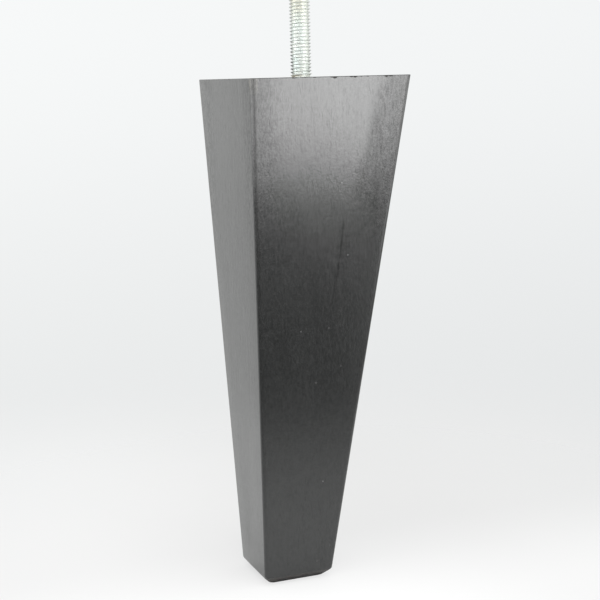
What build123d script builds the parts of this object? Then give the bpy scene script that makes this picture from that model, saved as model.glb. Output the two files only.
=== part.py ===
"""Tapered wooden furniture foot with a hanger bolt in its top.

The block is a square leg for the corner of a sofa or a bed. Two of its faces stand upright, so that
they line up with the outside of the furniture, and the other two lean in towards the floor. A hanger
bolt stands out of the top: a machine thread above the wood, and a wood screw inside it.

Millimetres, +Z up. The origin is on the axis of the bolt, at the level of the floor.
The upright faces look along -X and -Y.
"""

import os
from math import radians, tan

from build123d import *

# Wooden block
block_height = 185.0  # from the floor to the seating face
seat_width = 62.0  # side of the square seating face at the top
foot_width = 26.5  # side of the square that the four faces would make at the floor
foot_bevel = 3.0  # bevel around the foot, so that it doesn't splinter
edge_radius = 1.5  # sanded rounding of every edge but the sawn ones of the seating face

# Hanger bolt, M8 x 80
thread_diameter = 7.9  # over the crests of an M8 thread, which is just under its nominal size
thread_length = 35.0  # what stands above the seating face
end_chamfer = 1.0  # lead-in at the top of the machine thread
shank_diameter = 7.2  # plain middle, pressed into the wood
shank_length = 10.0
screw_diameter = 5.6  # core of the wood screw
screw_length = 35.0  # from the shank to the tip
point_length = 8.0  # tapered point at the end of the wood screw

# Hole for the bolt, which has no play in it
hole_relief = 3.0  # how far the hole runs past the tip of the screw
drill_angle = 118.0  # point angle of the drill
mouth_bevel = 0.8  # countersink at the mouth, so that the bolt doesn't lift the wood

# Places that follow from the sizes
upright_side = -seat_width / 2
seat_side = seat_width / 2
foot_side = upright_side + foot_width
bevel_side = foot_side + (seat_width - foot_width) * foot_bevel / block_height
thread_radius = thread_diameter / 2
shank_radius = shank_diameter / 2
screw_radius = screw_diameter / 2
bolt_top = block_height + thread_length
shank_bottom = block_height - shank_length
screw_tip = shank_bottom - screw_length
hole_depth = shank_length + screw_length + hole_relief
drill_cone_height = screw_radius / tan(radians(drill_angle / 2))

# The block looks the same from the front and from the side: (across, up)
block_outline = (
    (upright_side, block_height),
    (upright_side, foot_bevel),
    (upright_side + foot_bevel, 0),
    (foot_side - foot_bevel, 0),
    (bevel_side, foot_bevel),
    (seat_side, block_height),
)

os.makedirs("parts", exist_ok=True)

# Wooden block: a blank sawn to the outline from the front, then to the same outline from the side
with BuildPart() as leg_block:
    with BuildSketch(Plane.XZ):
        with BuildLine():
            Polyline(block_outline, close=True)
        make_face()
    extrude(amount=seat_width / 2, both=True)
    with BuildSketch(Plane.YZ):
        with BuildLine():
            Polyline(block_outline, close=True)
        make_face()
    extrude(amount=seat_width / 2, both=True, mode=Mode.INTERSECT)

    seating_face = leg_block.faces().sort_by(Axis.Z)[-1]
    fillet(leg_block.edges() - seating_face.edges(), edge_radius)

    with Locations((0, 0, block_height)):
        CounterBoreHole(
            radius=screw_radius,
            counter_bore_radius=shank_radius,
            counter_bore_depth=shank_length,
            depth=hole_depth,
        )
    with Locations((0, 0, block_height - hole_depth)):
        Cone(
            bottom_radius=0,
            top_radius=screw_radius,
            height=drill_cone_height,
            align=(Align.CENTER, Align.CENTER, Align.MAX),
            mode=Mode.SUBTRACT,
        )
    hole_mouth = leg_block.edges().filter_by(GeomType.CIRCLE).sort_by(Axis.Z)[-1]
    chamfer(hole_mouth, mouth_bevel)

# Hanger bolt: half of its outline, turned about its axis
with BuildPart() as hanger_bolt:
    with BuildSketch(Plane.XZ):
        with BuildLine():
            Polyline(
                (0, screw_tip),
                (screw_radius, screw_tip + point_length),
                (screw_radius, shank_bottom),
                (shank_radius, shank_bottom),
                (shank_radius, block_height),
                (thread_radius, block_height),
                (thread_radius, bolt_top - end_chamfer),
                (thread_radius - end_chamfer, bolt_top),
                (0, bolt_top),
                close=True,
            )
        make_face()
    revolve(axis=Axis.Z)

leg_block.part.label = "leg_block"
export_step(leg_block.part, "parts/leg_block.step")

hanger_bolt.part.label = "hanger_bolt"
export_step(hanger_bolt.part, "parts/hanger_bolt.step")
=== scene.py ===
"""Looks of a tapered wooden furniture foot with a threaded stud in its top.

Metres, +Z up. The origin is on the axis of the bolt, at the level of the floor. The two upright faces
of the block look along -X and -Y, and the other two lean in towards the floor.
"""

import random
from math import cos, pi, radians, sin, tan

import bmesh
import bpy
import numpy as np
from mathutils import Matrix, Vector, noise


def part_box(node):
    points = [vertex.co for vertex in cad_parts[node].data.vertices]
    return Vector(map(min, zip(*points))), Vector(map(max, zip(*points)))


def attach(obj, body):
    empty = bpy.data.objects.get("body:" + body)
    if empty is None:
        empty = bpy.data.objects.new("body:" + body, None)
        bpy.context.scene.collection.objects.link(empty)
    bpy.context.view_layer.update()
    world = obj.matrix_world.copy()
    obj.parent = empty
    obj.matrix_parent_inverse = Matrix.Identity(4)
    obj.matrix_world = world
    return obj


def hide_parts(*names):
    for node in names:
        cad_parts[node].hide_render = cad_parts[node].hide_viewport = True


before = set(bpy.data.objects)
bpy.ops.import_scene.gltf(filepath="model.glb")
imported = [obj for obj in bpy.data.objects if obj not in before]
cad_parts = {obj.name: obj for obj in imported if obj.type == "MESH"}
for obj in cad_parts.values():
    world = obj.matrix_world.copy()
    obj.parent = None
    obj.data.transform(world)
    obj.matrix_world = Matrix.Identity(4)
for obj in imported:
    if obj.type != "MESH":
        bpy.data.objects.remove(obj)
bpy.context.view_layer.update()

block_low, block_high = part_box("leg_block")
bolt_low, bolt_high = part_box("hanger_bolt")

MM = 0.001

# Block: what the frame's boxes don't tell
foot_width = 26.5 * MM  # side of the square that the four faces would make at the floor
foot_bevel = 3.0 * MM
edge_radius = 1.5 * MM
block_height = block_high.z
upright_side = block_low.x
seat_side = block_high.x
foot_side = upright_side + foot_width
lean = (seat_side - foot_side) / block_height

# Bolt and its hole
thread_radius = bolt_high.x
thread_top = bolt_high.z
screw_tip = bolt_low.z
shank_radius = 3.6 * MM
shank_bottom = block_height - 10 * MM
screw_radius = 2.8 * MM
screw_point = 8 * MM
end_chamfer = 1.0 * MM
hole_bottom = screw_tip - 3 * MM
drill_angle = radians(118)
mouth_bevel = 0.8 * MM
mouth_radius = shank_radius + mouth_bevel


# Camera

PHOTO_SIZE = 600  # pixels, each way
SENSOR = 36  # millimetres
CLIP_START = 10 * MM
camera_distance = 494.7 * MM
camera_turn = 0.3756  # how far the camera stands to the left of straight in front, in radians
camera_height = 184.7 * MM
camera_yaw = -0.0051
camera_pitch = 0.1690
camera_roll = -0.0246
focal_pixels = 1301.0


def add_camera():
    """Stands the camera where the edges of the block run as they do in the photograph."""
    place = Vector((-camera_distance * sin(camera_turn), -camera_distance * cos(camera_turn), camera_height))
    azimuth = camera_turn + camera_yaw
    forward = Vector((sin(azimuth) * cos(camera_pitch), cos(azimuth) * cos(camera_pitch), -sin(camera_pitch)))
    level = Vector((cos(azimuth), -sin(azimuth), 0))
    upright = level.cross(forward)
    right = cos(camera_roll) * level + sin(camera_roll) * upright
    up = -sin(camera_roll) * level + cos(camera_roll) * upright

    data = bpy.data.cameras.new("camera")
    data.sensor_width = SENSOR
    data.lens = SENSOR * focal_pixels / PHOTO_SIZE
    data.clip_start = CLIP_START
    camera = bpy.data.objects.new("camera", data)
    camera.matrix_world = Matrix((
        (right.x, up.x, -forward.x, place.x),
        (right.y, up.y, -forward.y, place.y),
        (right.z, up.z, -forward.z, place.z),
        (0, 0, 0, 1),
    ))
    bpy.context.collection.objects.link(camera)
    bpy.context.scene.camera = camera


# Meshes

WELD_DISTANCE = 0.0005 * MM


def smooth_step(low, high, value):
    """0 below low, 1 above high, and an even S between them. It takes numbers and arrays."""
    t = np.clip((value - low) / (high - low), 0, 1)
    return t * t * (3 - 2 * t)


def add_object(name, points, faces, corner_uvs, marks=None):
    """A smooth-shaded mesh object with its own map, and with nothing doubled or folded flat.

    marks maps the names of point attributes to their values.
    """
    mesh = bpy.data.meshes.new(name)
    mesh.from_pydata(points, [], faces)
    layer = mesh.uv_layers.new(name="OFBake")
    layer.data.foreach_set("uv", np.asarray(corner_uvs, dtype=np.float32).ravel())
    for mark, values in (marks or {}).items():
        mesh.attributes.new(mark, "FLOAT", "POINT").data.foreach_set("value", values)

    shape = bmesh.new()
    shape.from_mesh(mesh)
    bmesh.ops.remove_doubles(shape, verts=shape.verts, dist=WELD_DISTANCE)
    bmesh.ops.dissolve_degenerate(shape, edges=shape.edges, dist=WELD_DISTANCE)
    bmesh.ops.recalc_face_normals(shape, faces=shape.faces)
    for face in shape.faces:
        face.smooth = True
    shape.to_mesh(mesh)
    shape.free()

    piece = bpy.data.objects.new(name, mesh)
    bpy.context.collection.objects.link(piece)
    return piece


# Wooden block

SIDE_COLUMNS = 120  # across each side
ARRIS_COLUMNS = 8  # round each upright edge
COLUMNS = 4 * (SIDE_COLUMNS + ARRIS_COLUMNS)
TOP_SHARES = (0.12, 0.26, 0.4, 0.54, 0.67, 0.78, 0.87, 0.93)  # of the way from the hole to the top edge
TOP_INSETS = (1.5, 1.1, 0.8, 0.6, 0.45, 0.33)  # millimetres inside the top edge
EDGE_DEPTHS = (0.0, 0.06, 0.14, 0.25, 0.4, 0.55, 0.75, 1.0, 1.3, 1.7, 2.2, 2.9)  # millimetres below it
SIDE_ROWS = 118  # from there to the bevel at the foot
BEVEL_ARC_ROWS = 4
SOLE_SHARES = (0.12, 0.3, 0.5, 0.7, 0.88, 1.0)  # of the way from the edge of the sole to its middle
TOP_EDGE_WEAR = 0.14 * MM  # rounding of the sawn top edge
SCUFF_TOP = 3.4 * MM  # the foot has lost its gloss below this height
SCUFF_FADE = 1.2 * MM
TOP_CENTRE = (0, 0)
SOLE_CENTRE = np.array(((upright_side + foot_side) / 2,) * 2)


def way_at(degrees):
    angle = radians(degrees)
    return np.array((cos(angle), sin(angle)))


def section(inset, z):
    """One level of the block, a square with rounded corners: its points and their outward directions."""
    leaning = foot_side + lean * z - inset
    upright = upright_side + inset
    centres = (
        np.array((leaning - edge_radius, leaning - edge_radius)),
        np.array((upright + edge_radius, leaning - edge_radius)),
        np.array((upright + edge_radius, upright + edge_radius)),
        np.array((leaning - edge_radius, upright + edge_radius)),
    )
    points = []
    outward = []
    for number, centre in enumerate(centres):
        start = 90 * number
        for step in range(ARRIS_COLUMNS):
            way = way_at(start + 90 * step / ARRIS_COLUMNS)
            points.append(centre + edge_radius * way)
            outward.append(way)
        way = way_at(start + 90)
        begin = centre + edge_radius * way
        end = centres[(number + 1) % 4] + edge_radius * way
        for step in range(SIDE_COLUMNS):
            points.append(begin + (end - begin) * step / SIDE_COLUMNS)
            outward.append(way)
    return np.array(points), np.array(outward)


def bevel_rows():
    """(inset, height) down the bevel at the foot, with its two rounded edges."""
    reach = edge_radius * tan(pi / 8)
    rows = []
    for step in range(BEVEL_ARC_ROWS + 1):
        angle = pi / 4 * step / BEVEL_ARC_ROWS
        rows.append((edge_radius * (1 - cos(angle)), foot_bevel + reach - edge_radius * sin(angle)))
    for step in range(BEVEL_ARC_ROWS + 1):
        angle = pi / 4 + pi / 4 * step / BEVEL_ARC_ROWS
        rows.append((foot_bevel + reach - edge_radius * sin(angle), edge_radius * (1 - cos(angle))))
    return [(max(inset, 0), max(z, 0)) for inset, z in rows]


# Chips along the sawn top edge: (place along the edge from its middle, width, height, bite), millimetres
FRONT_CHIPS = (
    (-17.6, 0.8, 0.35, 0.25),
    (-15.1, 1.5, 0.42, 0.40),
    (-11.0, 0.7, 0.35, 0.30),
    (-7.2, 1.0, 0.35, 0.30),
    (-5.2, 0.9, 0.35, 0.30),
    (0.2, 2.6, 0.55, 0.45),
    (4.9, 0.8, 0.50, 0.30),
    (6.8, 0.9, 0.35, 0.30),
    (8.4, 1.0, 0.42, 0.40),
    (10.9, 0.8, 0.40, 0.30),
    (12.9, 1.1, 0.50, 0.35),
    (20.6, 1.8, 0.60, 0.40),
    (22.4, 0.9, 1.10, 0.25),
)
CHIP_RANGES = ((-28, 28), (0.7, 2.2), (0.2, 0.6), (0.15, 0.35))  # of these four on the other top edges
OTHER_CHIPS = 9  # on each of the other three
CHIP_SEED = 7
CHIP_REACH = 2 * MM  # no chip goes further from the edge


def edge_chips():
    """The chips of the four top edges, by the direction that each edge's face looks."""
    draw = random.Random(CHIP_SEED)
    chips = {(0, -1): FRONT_CHIPS}
    for way in ((-1, 0), (0, 1), (1, 0)):
        chips[way] = tuple(
            tuple(draw.uniform(low, high) for low, high in CHIP_RANGES)
            for _ in range(OTHER_CHIPS)
        )
    return chips


def chip_edge(points):
    """Cuts the chips into the top edge. Gives how deep in a chip each point lies, from 0 to 1."""
    depth = np.zeros(len(points))
    for way, chips in edge_chips().items():
        inset = seat_side - (points[:, 0] * way[0] + points[:, 1] * way[1])
        along = points[:, 0] * -way[1] + points[:, 1] * way[0]
        below = block_height - points[:, 2]
        near = (inset < CHIP_REACH) & (below < CHIP_REACH) & (below > -MM)
        for place, width, height, bite in chips:
            across = (along - place * MM) / (width * MM / 2)
            torn = 1 + 0.35 * np.sin(across * 5 + place) + 0.2 * np.sin(across * 11 + 2 * place)
            size = np.sqrt(np.clip(1 - across ** 2, 0, 1)) * np.clip(torn, 0.3, 2)
            drop = np.maximum(height * MM * size, 1e-7)
            cut = np.maximum(bite * MM * size, 1e-7)
            short = 1 - below / drop - inset / cut
            moved = near & (np.abs(across) < 1) & (short > 0)
            points[moved, 2] -= (short * drop / 2)[moved]
            shift = (short * cut / 2)[moved]
            points[moved, 0] -= shift * way[0]
            points[moved, 1] -= shift * way[1]
            depth[moved] = np.maximum(depth[moved], np.clip(2 * short, 0, 1)[moved])
    return depth


# Sanding leaves a face slightly hollow and wavy, and rolls it over towards its upright edges
ROLL_WIDTH = 10 * MM
ROLL_DEPTH = 0.11 * MM
WAVE_DEPTH = 0.045 * MM
SLOW_WAVES = (55, 24)  # to a metre, across the grain and along it
QUICK_WAVES = (130, 60)
WAVE_START = 3
SOLE_FADE = 4 * MM  # less of it so near to the sole


def wear_faces(points, outward):
    """Wears the sides in place."""
    for number, (x, y, z) in enumerate(points):
        way = outward[number]
        if not way.any():
            continue
        half = (foot_side + lean * z - upright_side) / 2
        middle = upright_side + half
        along = abs((x - middle) * -way[1] + (y - middle) * way[0])
        on_arris = way.all() and abs(way[0] * way[1]) > 0.001
        near = 1 if on_arris else max(0, 1 - (half - along) / ROLL_WIDTH)
        slow = noise.noise(Vector((x * SLOW_WAVES[0], y * SLOW_WAVES[0], z * SLOW_WAVES[1] + WAVE_START)))
        quick = noise.noise(Vector((x * QUICK_WAVES[0], y * QUICK_WAVES[0], z * QUICK_WAVES[1])))
        waves = slow + 0.5 * quick
        inward = ROLL_DEPTH * near ** 2 + WAVE_DEPTH * (0.75 + 0.5 * waves)
        inward *= min(1, (z + 0.2 * MM) / SOLE_FADE)
        points[number, 0] -= way[0] * inward
        points[number, 1] -= way[1] * inward


def block_rows():
    """The block's skin row after row: drill point, bore, top, sides, bevel and sole.

    Gives each row's points and outward directions, and the bands: (name, first row, last row).
    """
    top_ring, _ = section(0, block_height)
    angles = np.arctan2(top_ring[:, 1], top_ring[:, 0])
    round_way = np.stack((np.cos(angles), np.sin(angles)), axis=1)
    still = np.zeros_like(round_way)
    rows = []
    bands = []

    def add_row(flat, z, way):
        rows.append((np.column_stack((flat, np.full(COLUMNS, z))), way))

    bore = (
        (0, hole_bottom - screw_radius / tan(drill_angle / 2)),
        (screw_radius, hole_bottom),
        (screw_radius, shank_bottom),
        (shank_radius, shank_bottom),
        (shank_radius, block_height - mouth_bevel),
        (mouth_radius, block_height),
    )
    for radius, z in bore:
        add_row(round_way * radius, z, still)
    bands.append(("bore", 0, len(rows) - 1))

    top_start = len(rows) - 1
    mouth = round_way * mouth_radius
    for share in TOP_SHARES:
        add_row(mouth + (top_ring - mouth) * share, block_height, still)
    for inset in TOP_INSETS:
        add_row(section(inset * MM, block_height)[0], block_height, still)
    bands.append(("top", top_start, len(rows)))

    side_start = len(rows)
    depths = [depth * MM for depth in EDGE_DEPTHS]
    plain_start = depths[-1]
    plain_length = block_height - plain_start - bevel_rows()[0][1]
    depths += [plain_start + plain_length * step / SIDE_ROWS for step in range(1, SIDE_ROWS)]
    for depth in depths:
        worn = TOP_EDGE_WEAR * max(0, 1 - depth / TOP_EDGE_WEAR) ** 2
        flat, way = section(worn, block_height - depth)
        add_row(flat, block_height - depth, way)
    for inset, z in bevel_rows():
        flat, way = section(inset, z)
        add_row(flat, z, way)
    bands.append(("side", side_start, len(rows) - 1))

    sole_start = len(rows) - 1
    sole_ring = rows[-1][0][:, :2]
    for share in SOLE_SHARES:
        add_row(sole_ring + (SOLE_CENTRE - sole_ring) * share, 0, still)
    bands.append(("sole", sole_start, len(rows) - 1))
    return rows, bands


# The block's map, which is 1 wide and 1 high
MAP_SCALE = 1 / 0.25  # one unit is a quarter of a metre
FLAT_SHARE = 0.98  # of that on the top and the sole
SIDES_TOP = 0.745
BORE_LEFT = 0.30
BORE_WIDTH = 0.1
BORE_LOW = 0.76
TOP_PLACE = (0.126, 0.875)
SOLE_PLACE = (0.55, 0.9)


def flat_map(point, centre, place):
    """Where a point of the top or the sole lies on the map."""
    return (
        place[0] + (point[0] - centre[0]) * MAP_SCALE * FLAT_SHARE,
        place[1] + (point[1] - centre[1]) * MAP_SCALE * FLAT_SHARE,
    )


def block_faces(points, bands):
    """The faces between neighbouring rows, and where their corners lie on the block's map."""
    top_ring, _ = section(0, block_height)
    steps = np.linalg.norm(np.roll(top_ring, -1, axis=0) - top_ring, axis=1)
    around = np.concatenate(((0,), np.cumsum(steps))) * MAP_SCALE
    faces = []
    uvs = []
    for name, first, last in bands:
        run = 0.0
        for row in range(first, last):
            start = row * COLUMNS
            drop = np.linalg.norm(points[start + COLUMNS] - points[start]) * MAP_SCALE
            for column in range(COLUMNS):
                following = (column + 1) % COLUMNS
                corners = (
                    start + column,
                    start + COLUMNS + column,
                    start + COLUMNS + following,
                    start + following,
                )
                faces.append(corners)
                if name == "side":
                    left = around[column]
                    right = around[column + 1]
                    high = SIDES_TOP - run
                    low = high - drop
                    uvs += ((left, high), (left, low), (right, low), (right, high))
                elif name == "bore":
                    left = BORE_LEFT + BORE_WIDTH * column / COLUMNS
                    right = BORE_LEFT + BORE_WIDTH * (column + 1) / COLUMNS
                    low = BORE_LOW + run
                    high = low + drop
                    uvs += ((left, low), (left, high), (right, high), (right, low))
                elif name == "top":
                    uvs += [flat_map(points[corner], TOP_CENTRE, TOP_PLACE) for corner in corners]
                else:
                    uvs += [flat_map(points[corner], SOLE_CENTRE, SOLE_PLACE) for corner in corners]
            run += drop
    return faces, uvs


def build_block():
    """The block as one closed skin, with its wear."""
    rows, bands = block_rows()
    points = np.concatenate([row for row, _ in rows])
    outward = np.concatenate([way for _, way in rows])
    wear_faces(points, outward)
    chipped = chip_edge(points)
    faces, uvs = block_faces(points, bands)
    scuffed = smooth_step(SCUFF_TOP, SCUFF_TOP - SCUFF_FADE, points[:, 2])
    return add_object("wooden_block", points.tolist(), faces, uvs, {"chip": chipped, "scuff": scuffed})


# Hanger bolt

THREAD_SEGMENTS = 96
THREAD_PITCH = 1.25 * MM
THREAD_DEPTH = 0.66 * MM
THREAD_SHIFT = -0.57 * MM  # sets the crests at the heights that they have in the photograph
THREAD_FORM = (  # (place in the pitch, height from root 0 to crest 1)
    (0.00, 0.00), (0.09, 0.03), (0.16, 0.12), (0.42, 0.90), (0.455, 0.985),
    (0.50, 1.00), (0.545, 0.985), (0.58, 0.90), (0.84, 0.12), (0.91, 0.03),
)
THREAD_START = block_height - 0.35 * MM  # just inside the countersink
THREAD_RUNOUT = 0.12 * MM
SCREW_PITCH = 3.2 * MM
SCREW_DEPTH = 0.8 * MM
SCREW_FORM = (
    (0.0, 0.0), (0.22, 0.0), (0.40, 0.12), (0.48, 0.96), (0.5, 1.0), (0.52, 0.96), (0.60, 0.12), (0.78, 0.0),
)
SCREW_START = shank_bottom - 2.0 * MM
SCREW_RUNOUT = 3 * MM

# The bolt's map: (left, low, width, height) of each thread, and the columns of what is plain
THREAD_MAP = (0.02, 0.02, 0.46, 0.96)
SCREW_MAP = (0.52, 0.02, 0.3, 0.6)
PLAIN_LEFT = 0.52
PLAIN_WIDTH = 0.3
PLAIN_STEP = 0.04
PLAIN_HEIGHT = 0.035
END_MAP_TOP = 0.96
SHANK_MAP_TOP = 0.88


def helix_grid(bottom, top, pitch, form, radius_at, shift=0.0):
    """A turned skin whose rows climb with the thread. radius_at(z, height) gives the radius."""
    per_turn = len(form)
    turns = range(int((bottom - pitch) // pitch) - 1, int((top + pitch) // pitch) + 2)
    level = [(turn + place, height) for turn in turns for place, height in form]
    points = []
    for place, height in level:
        for segment in range(THREAD_SEGMENTS):
            share = segment / THREAD_SEGMENTS
            z = min(max(pitch * (place + share) + shift, bottom), top)
            radius = radius_at(z, height)
            angle = 2 * pi * share
            points.append((radius * cos(angle), radius * sin(angle), z))
    faces = []
    uvs = []
    count = len(level)
    for row in range(count - 1):
        for segment in range(THREAD_SEGMENTS):
            if segment + 1 < THREAD_SEGMENTS:
                beside = row * THREAD_SEGMENTS + segment + 1
            elif row + per_turn + 1 < count:
                beside = (row + per_turn) * THREAD_SEGMENTS
            else:
                beside = row * THREAD_SEGMENTS
            here = row * THREAD_SEGMENTS + segment
            faces.append((here, beside, beside + THREAD_SEGMENTS, here + THREAD_SEGMENTS))
            left = segment / THREAD_SEGMENTS
            right = (segment + 1) / THREAD_SEGMENTS
            low = row / count
            high = (row + 1) / count
            uvs += ((left, low), (right, low), (right, high), (left, high))
    return points, faces, uvs


def turned_skin(outline, map_top):
    """Turns an outline of (radius, z) about the bolt's axis."""
    points = []
    for radius, z in outline:
        for segment in range(THREAD_SEGMENTS):
            angle = 2 * pi * segment / THREAD_SEGMENTS
            points.append((radius * cos(angle), radius * sin(angle), z))
    faces = []
    uvs = []
    for row in range(len(outline) - 1):
        start = row * THREAD_SEGMENTS
        high = map_top - PLAIN_STEP * row
        low = high - PLAIN_HEIGHT
        for segment in range(THREAD_SEGMENTS):
            beside = (segment + 1) % THREAD_SEGMENTS
            faces.append((
                start + segment,
                start + THREAD_SEGMENTS + segment,
                start + THREAD_SEGMENTS + beside,
                start + beside,
            ))
            left = PLAIN_LEFT + PLAIN_WIDTH * segment / THREAD_SEGMENTS
            right = PLAIN_LEFT + PLAIN_WIDTH * (segment + 1) / THREAD_SEGMENTS
            uvs += ((left, high), (left, low), (right, low), (right, high))
    return points, faces, uvs


def machine_radius(z, height):
    """Radius of the machine thread, which runs out at the wood and into the chamfer at its end."""
    cut = thread_radius - THREAD_DEPTH * (1 - height)
    share = float(smooth_step(THREAD_START, THREAD_START + THREAD_RUNOUT, z))
    formed = shank_radius + (cut - shank_radius) * share
    lead_in = thread_radius - end_chamfer + (thread_top - z)
    return min(formed, lead_in)


def wood_radius(z, height):
    """Radius of the wood screw, which runs out at the shank and tapers to its point."""
    ridge = float(smooth_step(SCREW_START, SCREW_START - SCREW_RUNOUT, z))
    taper = min(1, (z - screw_tip) / screw_point)
    return (screw_radius + SCREW_DEPTH * height * ridge) * max(taper, 0)


def place_on_map(uvs, area):
    left, low, width, height = area
    return [(left + width * u, low + height * v) for u, v in uvs]


def build_bolt():
    """Machine thread above the wood, plain shank, and wood screw with its point."""
    end_face = (
        (0, thread_top),
        (thread_radius - end_chamfer, thread_top),
    )
    shank = (
        (shank_radius, THREAD_START),
        (shank_radius, shank_bottom + 0.6 * MM),
        (screw_radius, shank_bottom - 0.2 * MM),
        (screw_radius, SCREW_START),
    )
    machine = helix_grid(THREAD_START, thread_top, THREAD_PITCH, THREAD_FORM, machine_radius, THREAD_SHIFT)
    wood = helix_grid(screw_tip, SCREW_START, SCREW_PITCH, SCREW_FORM, wood_radius)
    skins = (
        (machine[0], machine[1], place_on_map(machine[2], THREAD_MAP)),
        (wood[0], wood[1], place_on_map(wood[2], SCREW_MAP)),
        turned_skin(end_face, END_MAP_TOP),
        turned_skin(shank, SHANK_MAP_TOP),
    )
    points = []
    faces = []
    uvs = []
    for skin_points, skin_faces, skin_uvs in skins:
        first = len(points)
        points += skin_points
        faces += [tuple(first + corner for corner in face) for face in skin_faces]
        uvs += skin_uvs
    return add_object("threaded_stud", points, faces, uvs)


# Materials

class Nodes:
    """One node tree, and short calls that add a node, set its inputs and give its output."""

    def __init__(self, tree):
        self.tree = tree
        tree.nodes.clear()

    def add(self, kind, inputs=None, output=0, **settings):
        """Adds a node. inputs maps its sockets to values or to other nodes' outputs."""
        node = self.tree.nodes.new(kind)
        for name, value in settings.items():
            setattr(node, name, value)
        for name, value in (inputs or {}).items():
            socket = node.inputs[name]
            if isinstance(value, bpy.types.NodeSocket):
                self.tree.links.new(value, socket)
            else:
                socket.default_value = value
        return node.outputs[output] if node.outputs else None

    def math(self, operation, first, second=0.0, third=0.0, clamp=False):
        inputs = {0: first, 1: second, 2: third}
        return self.add("ShaderNodeMath", inputs, operation=operation, use_clamp=clamp)

    def product(self, *factors):
        """The factors multiplied together."""
        total = factors[0]
        for factor in factors[1:]:
            total = self.math("MULTIPLY", total, factor)
        return total

    def add_up(self, start, shares):
        """start plus each mask times its share, held within 0 and 1. shares lists (mask, share)."""
        total = start
        for mask, share in shares:
            total = self.math("MULTIPLY_ADD", mask, share, total)
        return self.math("ADD", total, 0.0, clamp=True)

    def span(self, value, low, high, to_low=0.0, to_high=1.0):
        """Maps low..high onto to_low..to_high in an even S, and holds the ends."""
        inputs = {"Value": value, "From Min": low, "From Max": high, "To Min": to_low, "To Max": to_high}
        return self.add("ShaderNodeMapRange", inputs, interpolation_type="SMOOTHSTEP")

    def split(self, vector):
        """The x, y and z of a vector, or the three channels of a colour."""
        return self.add("ShaderNodeSeparateXYZ", {0: vector}).node.outputs

    def off_line(self, x, y, line_x=0.0, line_y=0.0):
        """How far a place is from the upright line through (line_x, line_y)."""
        across = self.math("POWER", self.math("SUBTRACT", x, line_x), 2)
        deep = self.math("POWER", self.math("SUBTRACT", y, line_y), 2)
        return self.math("SQRT", self.math("ADD", across, deep))

    def stretch(self, vector, scale, shift=(0, 0, 0)):
        inputs = {"Vector": vector, "Scale": scale, "Location": shift}
        return self.add("ShaderNodeMapping", inputs)

    def noise(self, vector, scale=1.0, detail=2.0, roughness=0.5):
        inputs = {"Vector": vector, "Scale": scale, "Detail": detail, "Roughness": roughness}
        return self.add("ShaderNodeTexNoise", inputs)

    def blend(self, factor, first, second):
        """Mixes two colours."""
        inputs = {0: factor, 6: first, 7: second}
        return self.add("ShaderNodeMix", inputs, output=2, data_type="RGBA")

    def bump(self, height, distance, normal=None):
        inputs = {"Height": height, "Distance": distance, "Strength": 1.0}
        if normal is not None:
            inputs["Normal"] = normal
        return self.add("ShaderNodeBump", inputs)


def new_material(name):
    material = bpy.data.materials.new(name)
    material.use_nodes = True
    return material, Nodes(material.node_tree)


# Lacquered wood: colours
STAIN_DARK = (0.0043, 0.0048, 0.0047, 1)
STAIN_PALE = (0.0074, 0.0079, 0.0078, 1)
PEBBLE_GREY = (0.018, 0.0184, 0.0184, 1)
LATE_WOOD = (0.003, 0.0032, 0.0033, 1)
CRACK_BLACK = (0.001, 0.001, 0.001, 1)
SCUFF_BROWN = (0.024, 0.018, 0.015, 1)
CHIP_BROWN = (0.020, 0.016, 0.013, 1)
RUBBED_GREY = (0.16, 0.15, 0.12, 1)
BARE_WOOD = (0.60, 0.52, 0.41, 1)
DUST_WHITE = (0.6, 0.6, 0.6, 1)

# Lacquered wood: places
SKIN = 1 * MM  # how far in from an upright face its marks reach
PITH = (-70 * MM, 95 * MM)  # where the tree's middle was
RING_WIDTH = 2.7 * MM
FRONT_DUST = (  # (x, z, radius, strength), lengths in millimetres
    (4.3, 121.1, 0.25, 0.34),  # (348, 255) in the photograph
    (2.5, 147.3, 0.24, 0.14),  # (342, 183)
    (-14.7, 94.5, 0.34, 0.16),  # (301, 332)
    (-3.7, 94.9, 0.30, 0.14),  # (329, 328)
    (0.7, 80.3, 0.30, 0.10),  # (341, 366)
    (-9.3, 75.0, 0.32, 0.12),  # (316, 383)
    (-7.4, 37.5, 0.32, 0.22),  # (323, 481)
    (-5.2, 12.4, 0.28, 0.08),  # (330, 545)
    (-10.5, 7.0, 0.30, 0.07),  # (317, 561)
)


def wood_grain(n, place):
    """Fibres, streaks, pores and late wood, and the swaying place that they follow.

    The fibres run up the block, so every pattern is long in z.
    """
    drift = n.noise(n.stretch(place, (45, 45, 9)), detail=1)
    sway = n.add("ShaderNodeCombineXYZ", {0: n.product(drift, 3 * MM), 1: n.product(drift, 2 * MM)})
    bent = n.add("ShaderNodeVectorMath", {0: place, 1: sway}, operation="ADD")
    fibre = n.noise(n.stretch(bent, (1550, 1550, 520)), detail=2, roughness=0.6)
    streak = n.noise(n.stretch(bent, (1000, 1000, 110)), detail=2, roughness=0.6)
    pores = n.span(n.noise(n.stretch(bent, (1800, 1800, 330)), detail=1), 0.56, 0.74)
    bent_x, bent_y, _ = n.split(bent)
    from_pith = n.off_line(bent_x, bent_y, *PITH)
    rings = n.math("FRACT", n.product(from_pith, 1 / RING_WIDTH))
    late_wood = n.span(rings, 0.45, 0.95)
    return fibre, streak, pores, late_wood, bent


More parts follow.
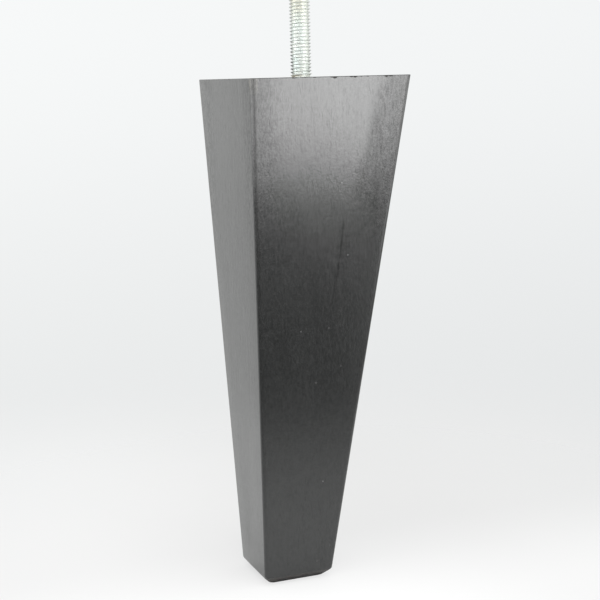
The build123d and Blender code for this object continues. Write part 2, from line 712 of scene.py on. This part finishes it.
def dry_spray(n, x, y, z, mottle, on_front):
    """Dry stretches beside the upright edges, high on the block, and where the lacquer is thin in them.

    On the front the right border runs from (383, 82) to (362, 170) in the photograph.
    """
    off_x = n.math("ABSOLUTE", n.math("ADD", x, 4 * MM))
    off_y = n.math("ABSOLUTE", n.math("ADD", y, 4 * MM))
    dry_side = n.span(n.math("MINIMUM", off_x, off_y), 12 * MM, 22 * MM)
    border_height = 180 * MM
    border_x = 19.1 * MM  # at that height
    border_slope = 0.315
    border = n.math("MULTIPLY_ADD", n.math("SUBTRACT", z, border_height), border_slope, border_x)
    dry_right = n.span(n.math("SUBTRACT", x, border), -4 * MM, 3 * MM)
    dry_left = n.span(x, -16 * MM, -26 * MM)
    dry_front = n.math("MAXIMUM", dry_left, dry_right)
    dry = n.add("ShaderNodeMix", {0: on_front, 2: dry_side, 3: dry_front})
    dry = n.product(dry, n.span(z, 105 * MM, 150 * MM))
    thinness = n.math("MULTIPLY_ADD", mottle, 0.26, n.span(x, -8 * MM, 10 * MM, 0.10, 0.80))
    return dry, n.product(dry, thinness)


def dull_run(n, x, z, mottle, on_front):
    """Dull run down the right of the front, from (377, 90) to (372, 250) in the photograph."""
    run_height = 180 * MM
    run_x = 16.8 * MM  # at that height
    run_slope = 0.05
    middle = n.math("MULTIPLY_ADD", z, run_slope, run_x - run_slope * run_height)
    run = n.span(n.math("ABSOLUTE", n.math("SUBTRACT", x, middle)), 4.2 * MM, 1.0 * MM)
    low_end = n.span(z, 108 * MM, 135 * MM)
    high_end = n.span(z, 185 * MM, 177 * MM, 0.25, 1.0)
    return n.product(run, low_end, high_end, on_front, n.math("MULTIPLY_ADD", mottle, 0.5, 0.5))


def dull_foot(n, x, y, z):
    """The left face is a little duller low down, most of all towards the back."""
    on_left = n.math("LESS_THAN", x, upright_side + SKIN)
    high_end = n.span(z, 72 * MM, 36 * MM)
    low_end = n.span(z, 4 * MM, 16 * MM)
    return n.product(on_left, high_end, low_end, n.span(y, -30 * MM, -10 * MM, 0.3, 1.0))


def rubbed_corner(n, x, y, z, streak):
    """Lacquer rubbed through at the top of the arris in front, (249..255, 79..92) in the photograph."""
    from_corner = n.off_line(x, y, upright_side, upright_side)
    rubbed = n.product(n.span(from_corner, 3.4 * MM, 1.4 * MM), n.span(z, 178 * MM, 183 * MM))
    return n.product(rubbed, n.span(streak, 0.40, 0.60, 0.25, 1.0))


def drilled_wood(n, x, y, z):
    """The hole was drilled after the lacquering, so it shows bare wood."""
    border = 0.02 * MM
    inside = n.span(n.off_line(x, y), mouth_radius + border, mouth_radius - border)
    return n.product(inside, n.span(z, hole_bottom - 5 * MM, hole_bottom - 4 * MM))


def hairline_crack(n, place, x, z, on_front):
    """Crack on the front from (343, 221) to (328, 318) in the photograph, bowed to the right."""
    top_x = 2.8 * MM
    top_z = 133.6 * MM
    low_x = -4.0 * MM
    low_z = 98.6 * MM
    bow_depth = 0.9 * MM
    share = n.product(n.math("SUBTRACT", z, low_z), 1 / (top_z - low_z))
    bow = n.product(share, n.math("SUBTRACT", 1.0, share), 4 * bow_depth)
    crack_x = n.math("ADD", n.math("MULTIPLY_ADD", share, top_x - low_x, low_x), bow)
    wander = n.product(n.math("SUBTRACT", n.noise(n.stretch(place, (0, 0, 90))), 0.5), 0.5 * MM)
    off_crack = n.math("ABSOLUTE", n.math("SUBTRACT", n.math("ADD", x, wander), crack_x))
    crack = n.span(off_crack, 0.42 * MM, 0.14 * MM)
    return n.product(crack, n.span(share, -0.05, 0.55), n.span(share, 1.06, 0.94), on_front)


def caught_dust(n, place):
    """Specks scattered all over, and with them the dust that the photograph shows on the front."""
    spots = n.add("ShaderNodeTexVoronoi", {"Vector": place, "Scale": 95.0}).node
    chance, size_chance, _ = n.split(spots.outputs["Color"])
    is_chosen = n.math("GREATER_THAN", chance, 0.90)
    speck_size = n.math("MULTIPLY_ADD", size_chance, 0.014, 0.010)
    speck = n.product(is_chosen, n.math("LESS_THAN", spots.outputs["Distance"], speck_size))
    dust = n.product(speck, 0.5)
    for dust_x, dust_z, size, strength in FRONT_DUST:
        centre = (dust_x * MM, upright_side, dust_z * MM)
        spot = n.add("ShaderNodeVectorMath", {0: place, 1: centre}, output="Value", operation="DISTANCE")
        dust = n.math("MAXIMUM", dust, n.span(spot, size * MM, size * MM * 0.4, 0, strength))
    return speck, dust


def lacquered_wood():
    """Black lacquer sprayed over wood: grain that prints through, orange peel, dust and bare chips."""
    material, n = new_material("lacquered_wood")
    place = n.add("ShaderNodeTexCoord", output="Object")
    normal = n.add("ShaderNodeTexCoord", output="Normal")
    x, y, z = n.split(place)
    _, _, up = n.split(normal)
    end_grain = n.span(up, 0.6, 0.9)
    on_front = n.math("LESS_THAN", y, upright_side + SKIN)
    fibre, streak, pores, late_wood, bent = wood_grain(n, place)
    pebble = n.noise(place, 1500, detail=1, roughness=0.6)
    patches = n.noise(n.stretch(place, (90, 90, 30)), detail=3, roughness=0.6)
    mottle = n.span(n.noise(n.stretch(place, (330, 330, 190)), detail=3, roughness=0.65), 0.36, 0.64)
    dry, thin = dry_spray(n, x, y, z, mottle, on_front)
    run = dull_run(n, x, z, mottle, on_front)
    low_dull = dull_foot(n, x, y, z)
    rubbed = rubbed_corner(n, x, y, z, streak)
    drilled = drilled_wood(n, x, y, z)
    crack = hairline_crack(n, place, x, z, on_front)
    speck, dust = caught_dust(n, place)
    chip = n.add("ShaderNodeAttribute", attribute_name="chip", output="Fac")
    scuff = n.add("ShaderNodeAttribute", attribute_name="scuff", output="Fac")

    # Colour
    stain = n.blend(n.span(fibre, 0.3, 0.7), STAIN_DARK, STAIN_PALE)
    stain = n.blend(n.span(pebble, 0.46, 0.70, 0, 0.27), stain, PEBBLE_GREY)
    stain = n.blend(n.product(late_wood, 0.15), stain, LATE_WOOD)
    stain = n.blend(n.product(crack, 0.9), stain, CRACK_BLACK)
    stain = n.blend(scuff, stain, SCUFF_BROWN)
    stain = n.blend(chip, stain, CHIP_BROWN)
    stain = n.blend(n.product(rubbed, 0.55), stain, RUBBED_GREY)
    stain = n.blend(drilled, stain, BARE_WOOD)
    stain = n.blend(dust, stain, DUST_WHITE)

    # Gloss: how rough the lacquer is, and how much of it lies on the wood
    rough = n.math("MULTIPLY_ADD", n.math("SUBTRACT", patches, 0.5), 0.12, 0.20)
    rough = n.math("MULTIPLY_ADD", n.math("SUBTRACT", fibre, 0.5), 0.15, rough)
    rough = n.add_up(rough, ((end_grain, 0.42), (scuff, 0.35), (drilled, 0.5), (chip, 0.35)))
    coat = n.math("MULTIPLY_ADD", pores, -0.20, 0.92)
    coat = n.math("MULTIPLY_ADD", n.math("SUBTRACT", streak, 0.5), 0.26, coat)
    speckle = n.math("SUBTRACT", n.math("MULTIPLY_ADD", pebble, 0.7, n.product(fibre, 1.2)), 0.95)
    coat = n.math("MULTIPLY_ADD", speckle, n.math("MULTIPLY_ADD", dry, 0.60, 0.45), coat)
    coat = n.add_up(coat, (
        (end_grain, -0.92),
        (drilled, -0.90),
        (thin, -0.55),
        (run, -0.18),
        (low_dull, -0.26),
        (crack, -0.85),
        (scuff, -0.75),
        (chip, -0.9),
    ))

    # Relief
    grain = n.math("MULTIPLY_ADD", streak, 0.8, fibre)
    grain = n.math("SUBTRACT", grain, n.product(pores, 0.7))
    grain = n.math("SUBTRACT", grain, n.product(late_wood, 0.3))
    peel = n.product(pebble, n.math("MULTIPLY_ADD", dry, 0.3, 0.8))
    across_saw = n.stretch(bent, (1, 0.25, 0), (0.05, 0, 0))
    saw_settings = {"Vector": across_saw, "Scale": 260.0, "Distortion": 1.2, "Detail": 2.0}
    saw = n.product(n.add("ShaderNodeTexWave", saw_settings), end_grain)
    relief = n.bump(grain, 0.008 * MM)
    relief = n.bump(peel, 0.009 * MM, relief)
    relief = n.bump(speck, 0.02 * MM, relief)
    relief = n.bump(saw, 0.02 * MM, relief)

    shader = n.add("ShaderNodeBsdfPrincipled", {
        "Base Color": stain,
        "Roughness": rough,
        "IOR": 1.5,
        "Coat Weight": coat,
        "Coat Roughness": 0.145,
        "Coat IOR": 1.5,
        "Normal": relief,
        "Coat Normal": relief,
    })
    n.add("ShaderNodeOutputMaterial", {"Surface": shader})
    return material


# Zinc: colours, and the direction across the stud to the right of the photograph, towards which shade is
# painted
ZINC_COOL = (0.84, 0.885, 0.865, 1)
ZINC_WARM = (0.90, 0.915, 0.88, 1)
ZINC_GREEN = (0.80, 0.90, 0.88, 1)
ZINC_YELLOWED = (0.66, 0.60, 0.46, 1)
# Painted shade for the right side of the stud:
ZINC_RIGHT_SHADE = (0.62, 0.635, 0.60, 1)
# Painted shade for the crests of the thread:
ZINC_CREST_SHADE = (0.64, 0.67, 0.65, 1)
RIGHT_WAY = (0.93, -0.36)


def zinc_plated_steel():
    """Bright zinc on a rolled thread: rougher crests darkened by painted shade, yellowed towards the top, and
    darkened on the right by painted shade.
    """
    material, n = new_material("zinc_plated_steel")
    place = n.add("ShaderNodeTexCoord", output="Object")
    x, y, z = n.split(place)
    crest = n.span(n.off_line(x, y), thread_radius - 0.26 * MM, thread_radius - 0.05 * MM)
    to_right = n.math("MULTIPLY_ADD", x, RIGHT_WAY[0], n.product(y, RIGHT_WAY[1]))
    cloud = n.noise(place, 230, detail=3, roughness=0.6)
    tint = n.noise(place, 190, detail=2)
    fine = n.noise(n.stretch(place, (900, 900, 2200)), detail=1)

    colour = n.blend(n.span(cloud, 0.35, 0.65), ZINC_COOL, ZINC_WARM)
    colour = n.blend(n.span(tint, 0.52, 0.70, 0, 0.4), colour, ZINC_GREEN)
    colour = n.blend(n.span(z, 200 * MM, 214 * MM, 0, 0.40), colour, ZINC_YELLOWED)
    # Painted shade: the zinc darkens towards the right side of the stud
    colour = n.blend(n.span(to_right, -0.5 * MM, 3.2 * MM, 0, 0.75), colour, ZINC_RIGHT_SHADE)
    # Painted shade: the crests are darkened so that the thread shows dark bands
    rubbed = n.product(crest, n.span(cloud, 0.30, 0.62, 0.80, 1.00))
    colour = n.blend(rubbed, colour, ZINC_CREST_SHADE)
    rough = n.math("MULTIPLY_ADD", cloud, 0.06, 0.29)
    rough = n.math("MULTIPLY_ADD", crest, 0.10, rough)
    shader = n.add("ShaderNodeBsdfPrincipled", {
        "Base Color": colour,
        "Metallic": 1.0,
        "Roughness": rough,
        "Normal": n.bump(fine, 0.0008 * MM),
    })
    n.add("ShaderNodeOutputMaterial", {"Surface": shader})
    return material


# Stage

FLOOR_RADIUS = 1.2
FLOOR_SEGMENTS = 96
FADE_START = 0.06  # the floor fades out from here
FADE_END = 0.34
FLOOR_GREYS = ((0.79, 0.79, 0.79, 1), (0.805, 0.805, 0.805, 1))
FLOOR_GLOW = 0.7  # share of the pale glow that the camera sees, which keeps the rest for shadow; the glow is painted light and shade, brighter in front of the foot and darker behind it and towards the right

BACKDROP_LEFT = (0.985, 1.0, 1.0, 1)
BACKDROP_RIGHT = (0.93, 0.945, 0.95, 1)
ROOM_WHITE = (0.99, 1.0, 0.99, 1)
ROOM_DIM = 0.23  # brightness of the side where the photographer stands
ROOM_LIT = 0.57  # what the white surroundings add to it

SOFTBOXES = (  # (name, shape, place, what it faces, width, height, watts), lengths in metres
    ("front_softbox", "ELLIPSE", (0.43, -1.0, 0.258), (0.0, 0.0, 0.258), 0.30, 0.36, 0.80),
    ("wide_softbox", "RECTANGLE", (0.396, -1.1, 0.246), (0.396, 0.0, 0.246), 0.908, 0.37, 3.42),
    ("faint_softbox", "RECTANGLE", (0.71, -1.1, 0.005), (0.71, 0.0, 0.005), 0.22, 0.13, 0.043),
    ("low_softbox", "RECTANGLE", (0.88, -1.1, 0.005), (0.88, 0.0, 0.005), 0.20, 0.13, 0.17),
    ("dim_softbox", "RECTANGLE", (-0.507, -1.1, 0.246), (-0.507, 0.0, 0.246), 0.898, 0.37, 2.42),
    ("left_softbox", "RECTANGLE", (-1.217, -0.326, 0.255), (0.0, 0.0, 0.255), 1.83, 0.36, 6.6),
    ("corner_softbox", "RECTANGLE", (-1.038, 0.714, 0.255), (0.0, 0.0, 0.255), 0.70, 0.36, 0.9),
    ("right_softbox", "RECTANGLE", (1.07, -0.62, 0.165), (0.0, 0.0, 0.165), 1.0, 0.54, 3.0),
    ("top_softbox", "RECTANGLE", (0.1, -0.5, 1.2), (0.0, 0.0, 0.0), 1.0, 1.0, 2.8),
)


def pale_floor():
    """A matt pale floor that thins out into the white surroundings, with a glow for the camera that paints
    light in front of the foot and shade behind it.
    """
    material, n = new_material("pale_floor")
    place = n.add("ShaderNodeTexCoord", output="Object")
    x, y, _ = n.split(place)
    distance = n.add("ShaderNodeVectorMath", {0: place}, output="Value", operation="LENGTH")
    colour = n.blend(n.span(n.noise(place, 14, detail=2), 0.3, 0.7), *FLOOR_GREYS)
    matt = n.add("ShaderNodeBsdfDiffuse", {"Color": colour})
    # Painted light and shade: the glow is brighter in front of the foot and darker behind it and towards the
    # right
    behind = n.span(x, -0.10, 0.08, 0.92, 0.79)
    ahead = n.span(x, -0.03, 0.08, 1.13, 0.96)
    level = n.add("ShaderNodeMix", {0: n.span(y, -0.08, 0.02), 2: ahead, 3: behind})
    pale = n.add("ShaderNodeEmission", {"Color": (1.0, 1.0, 1.0, 1), "Strength": level})
    is_camera = n.add("ShaderNodeLightPath", output="Is Camera Ray")
    soft = n.add("ShaderNodeMixShader", {0: n.product(is_camera, FLOOR_GLOW), 1: matt, 2: pale})
    clear = n.add("ShaderNodeBsdfTransparent")
    fade = n.span(distance, FADE_START, FADE_END)
    mixed = n.add("ShaderNodeMixShader", {0: fade, 1: soft, 2: clear})
    n.add("ShaderNodeOutputMaterial", {"Surface": mixed})
    return material


def add_floor():
    mesh = bpy.data.meshes.new("floor")
    shape = bmesh.new()
    bmesh.ops.create_circle(shape, cap_ends=True, radius=FLOOR_RADIUS, segments=FLOOR_SEGMENTS)
    shape.to_mesh(mesh)
    shape.free()
    mesh.materials.append(pale_floor())
    floor = bpy.data.objects.new("floor", mesh)
    bpy.context.collection.objects.link(floor)


def add_world():
    """White surroundings, darker on the side where the photographer stands."""
    world = bpy.data.worlds.new("studio")
    bpy.context.scene.world = world
    world.use_nodes = True
    n = Nodes(world.node_tree)
    way = n.add("ShaderNodeTexCoord", output="Generated")
    x, y, z = n.split(way)

    # What the camera sees
    backdrop = n.blend(n.span(x, -0.1, 0.8), BACKDROP_LEFT, BACKDROP_RIGHT)
    paleness = n.span(z, -0.26, 0.06, 0.845, 0.955)
    seen = n.add("ShaderNodeBackground", {"Color": backdrop, "Strength": paleness})

    # What lights the foot: it is lit from behind, from the right and from above
    from_right = n.product(n.span(x, 0.385, 0.46), n.span(z, -0.36, -0.12))
    lit = n.math("MAXIMUM", n.span(y, -0.15, 0.30), from_right)
    lit = n.math("MAXIMUM", lit, n.span(z, 0.15, 0.5))
    brightness = n.math("MULTIPLY_ADD", lit, ROOM_LIT, ROOM_DIM)
    brightness = n.math("ADD", brightness, n.span(z, 0.3, 0.7, 0, 0.15))
    brightness = n.math("MAXIMUM", brightness, n.span(z, -0.22, -0.36, 0.23, 0.62))
    far_right = n.product(n.span(x, 0.44, 0.52), n.span(z, -0.22, -0.08))
    brightness = n.math("MULTIPLY_ADD", far_right, 0.35, brightness)
    low_behind = n.product(n.span(z, -0.03, -0.10), n.span(y, 0.0, 0.3))
    brightness = n.product(brightness, n.math("MULTIPLY_ADD", low_behind, -0.10, 1.0))
    room = n.add("ShaderNodeBackground", {"Color": ROOM_WHITE, "Strength": brightness})

    is_camera = n.add("ShaderNodeLightPath", output="Is Camera Ray")
    mixed = n.add("ShaderNodeMixShader", {0: is_camera, 1: room, 2: seen})
    n.add("ShaderNodeOutputWorld", {"Surface": mixed})


def add_lights():
    for name, shape, place, target, width, height, power in SOFTBOXES:
        data = bpy.data.lights.new(name, "AREA")
        data.shape = shape
        data.size = width
        data.size_y = height
        data.energy = power
        lamp = bpy.data.objects.new(name, data)
        lamp.location = place
        lamp.rotation_euler = (Vector(target) - Vector(place)).to_track_quat("-Z", "Y").to_euler()
        lamp.visible_camera = False
        bpy.context.collection.objects.link(lamp)


block = build_block()
block.data.materials.append(lacquered_wood())
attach(block, "root")
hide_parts("leg_block")

stud = build_bolt()
stud.data.materials.append(zinc_plated_steel())
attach(stud, "root")
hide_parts("hanger_bolt")

add_floor()
add_world()
add_lights()
add_camera()
bpy.context.scene.view_settings.view_transform = "Standard"
